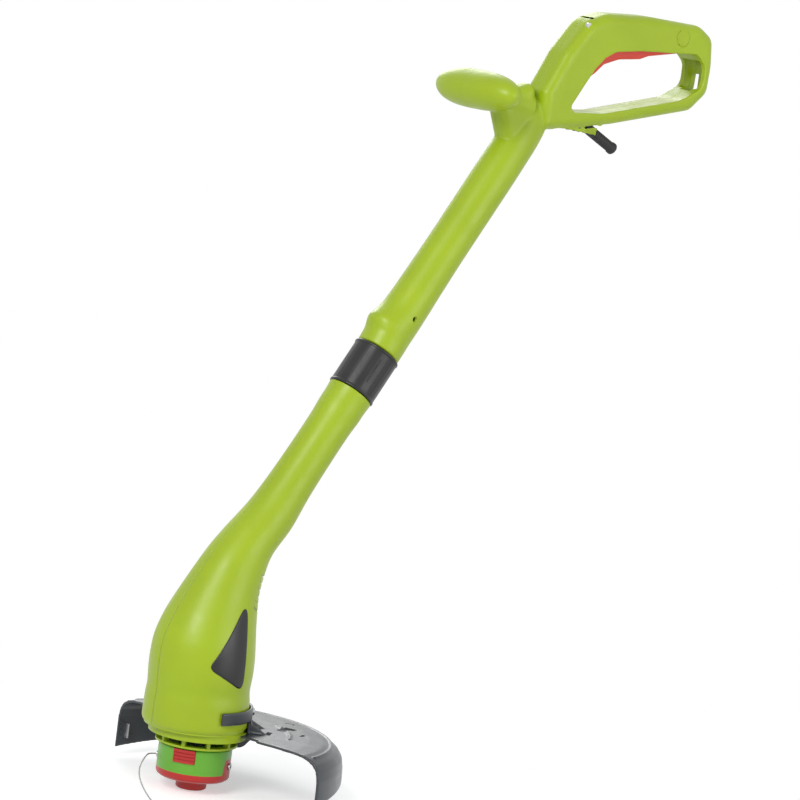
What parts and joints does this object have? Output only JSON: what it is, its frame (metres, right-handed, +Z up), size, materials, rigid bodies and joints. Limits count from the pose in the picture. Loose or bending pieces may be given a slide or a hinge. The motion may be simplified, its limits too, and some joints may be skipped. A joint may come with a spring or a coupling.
{
  "type": "electric string trimmer",
  "caption": "Corded string trimmer with a bump-feed spool head, swivel motor head, rear guard, straight shaft, transverse front grip and D-shaped rear handle with a trigger.",
  "frame": {"origin": "centre of the tap button's bottom face, on the spool's axis", "axes": "+Z up along the spool's axis, +X towards the operator's rear handle, XZ the symmetry plane, -Y the operator's left"},
  "size_m": [0.6103, 0.2614, 0.7543],
  "materials": {
    "green_shell": "glossy moulded",
    "cup_green": "glossy moulded",
    "red_plastic": "glossy moulded",
    "guard_grey": "satin moulded",
    "black_plastic": "satin moulded",
    "sleeve_rubber": "matt",
    "steel": "bright",
    "copper": "wound",
    "brass": "turned",
    "magnet": "sintered",
    "nylon_line": "monofilament",
    "wire_sheath": "matt",
    "board": "laminate"
  },
  "bodies": {
    "handle_unit": {"handle_shell_left": "green_shell", "handle_shell_right": "green_shell", "handle_screws": "steel", "front_grip": "green_shell", "trigger_pin": "steel", "trigger_spring": "steel", "switch_body": "black_plastic", "capacitor": "black_plastic", "cord_sleeve": "sleeve_rubber", "cord_clamp": "black_plastic", "handle_leads": "wire_sheath", "swivel_socket": "black_plastic"},
    "trigger": {"trigger": "red_plastic"},
    "switch_plunger": {"switch_plunger": "black_plastic"},
    "collar": {"collar": "black_plastic"},
    "motor_unit": {"motor_shell_left": "green_shell", "motor_shell_right": "green_shell", "motor_shell_screws": "steel", "badge_left": "black_plastic", "badge_right": "black_plastic", "motor_plate": "steel", "motor_can": "steel", "motor_magnets": "magnet", "motor_end_cap": "black_plastic", "carbon_brushes": "magnet", "brush_holders": "brass", "lower_bearing": "steel", "upper_bearing": "steel", "rectifier_board": "board", "motor_leads": "wire_sheath", "vent_ring": "green_shell", "vent_ring_screws": "steel", "guard": "guard_grey", "guard_tongue": "guard_grey", "guard_screws": "steel", "line_cutter": "steel", "swivel_spigot": "black_plastic"},
    "rotor": {"motor_shaft": "steel", "drive_hub": "black_plastic", "cooling_fan": "black_plastic", "armature_core": "steel", "armature_winding": "copper", "commutator": "copper", "spool_cup": "cup_green", "spool_cover": "red_plastic", "line_eyelets": "steel", "cutting_line": "nylon_line", "hub_nut": "steel", "spool_spring": "steel"},
    "tap_button": {"tap_button": "red_plastic"},
    "spool": {"line_spool": "black_plastic", "wound_line": "nylon_line"},
    "latch_front": {"latch_front": "red_plastic"},
    "latch_rear": {"latch_rear": "red_plastic"}
  },
  "joints": [
    {"name": "trigger_pull", "type": "hinge", "parent": "handle_unit", "child": "trigger", "pos_m": [0.48408, 0, 0.72894], "axis": [0, 1, 0], "range_deg": [0, 6], "stiffness_Nm_per_rad": 2, "springref_deg": -5.73, "deforming": ["trigger_spring"]},
    {"name": "switch_travel", "type": "slide", "parent": "handle_unit", "child": "switch_plunger", "axis": [0, 0, 1], "range_m": [0, 0.0064]},
    {"name": "collar_twist", "type": "hinge", "parent": "handle_unit", "child": "collar", "pos_m": [0.14453, 0, 0.39555], "axis": [0.5534, 0, 0.8329], "range_deg": [0, 60]},
    {"name": "head_turn", "type": "hinge", "parent": "handle_unit", "child": "motor_unit", "pos_m": [0.14453, 0, 0.39555], "axis": [0.5534, 0, 0.8329], "range_deg": [0, 180]},
    {"name": "spool_drive", "type": "hinge", "parent": "motor_unit", "child": "rotor", "pos_m": [0, 0, 0], "axis": [0, 0, 1], "continuous": true},
    {"name": "tap_press", "type": "slide", "parent": "rotor", "child": "tap_button", "axis": [0, 0, 1], "range_m": [0, 0.004], "stiffness_N_per_m": 700, "springref_m": -0.003, "deforming": ["spool_spring"]},
    {"name": "spool_index", "type": "hinge", "parent": "tap_button", "child": "spool", "pos_m": [0, 0, 0.02], "axis": [0, 0, 1], "continuous": true},
    {"name": "latch_front_press", "type": "slide", "parent": "rotor", "child": "latch_front", "axis": [0.809, 0.5878, 0], "range_m": [0, 0.002], "stiffness_N_per_m": 900, "springref_m": -0.001},
    {"name": "latch_rear_press", "type": "slide", "parent": "rotor", "child": "latch_rear", "axis": [-0.809, -0.5878, 0], "range_m": [0, 0.002], "stiffness_N_per_m": 900, "springref_m": -0.001}
  ],
  "couplings": [
    {"joint": "switch_travel", "follows": "trigger_pull", "m_per_rad": 0.0605}
  ]
}
